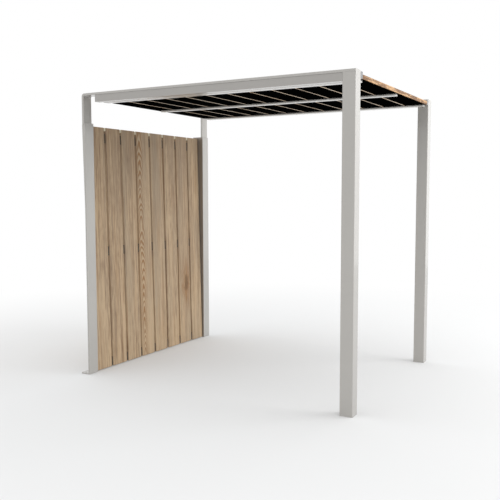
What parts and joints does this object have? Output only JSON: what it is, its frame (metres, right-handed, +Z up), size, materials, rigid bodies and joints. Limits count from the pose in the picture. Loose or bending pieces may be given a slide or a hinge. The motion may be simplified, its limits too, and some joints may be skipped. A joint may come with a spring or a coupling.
{
  "type": "public shelter",
  "caption": "Open outdoor shelter of two flat metal portal frames with a boarded roof panel and one raked wall of upright timber boards, open on the other sides.",
  "frame": {"origin": "on the ground, in the middle of the shelter's outline", "axes": "+Z up, -Y towards the open front, -X towards the boarded wall"},
  "size_m": [2.63, 1.99, 2.5],
  "materials": {
    "frame_metal": "satin light grey",
    "wall_timber": "oiled plain-sawn boards",
    "roof_timber": "oiled boards with a black finish underneath"
  },
  "bodies": {
    "root": {"front_beam": "frame_metal", "front_head_bar": "frame_metal", "front_left_upright": "frame_metal", "front_right_post": "frame_metal", "front_roof_rail": "frame_metal", "front_roof_tube": "frame_metal", "front_wall_stile": "frame_metal", "lower_wall_rail": "frame_metal", "middle_roof_rail": "frame_metal", "middle_wall_rail": "frame_metal", "rear_head_bar": "frame_metal", "rear_left_upright": "frame_metal", "rear_right_post": "frame_metal", "rear_roof_rail": "frame_metal", "rear_roof_tube": "frame_metal", "rear_wall_stile": "frame_metal", "roof_board_01": "roof_timber", "roof_board_02": "roof_timber", "roof_board_03": "roof_timber", "roof_board_04": "roof_timber", "roof_board_05": "roof_timber", "roof_board_06": "roof_timber", "roof_board_07": "roof_timber", "roof_board_08": "roof_timber", "roof_board_09": "roof_timber", "roof_board_10": "roof_timber", "roof_board_11": "roof_timber", "roof_board_12": "roof_timber", "upper_wall_rail": "frame_metal", "wall_board_1": "wall_timber", "wall_board_2": "wall_timber", "wall_board_3": "wall_timber", "wall_board_4": "wall_timber", "wall_board_5": "wall_timber", "wall_board_6": "wall_timber", "wall_board_7": "wall_timber", "wall_board_8": "wall_timber"}
  },
  "joints": []
}
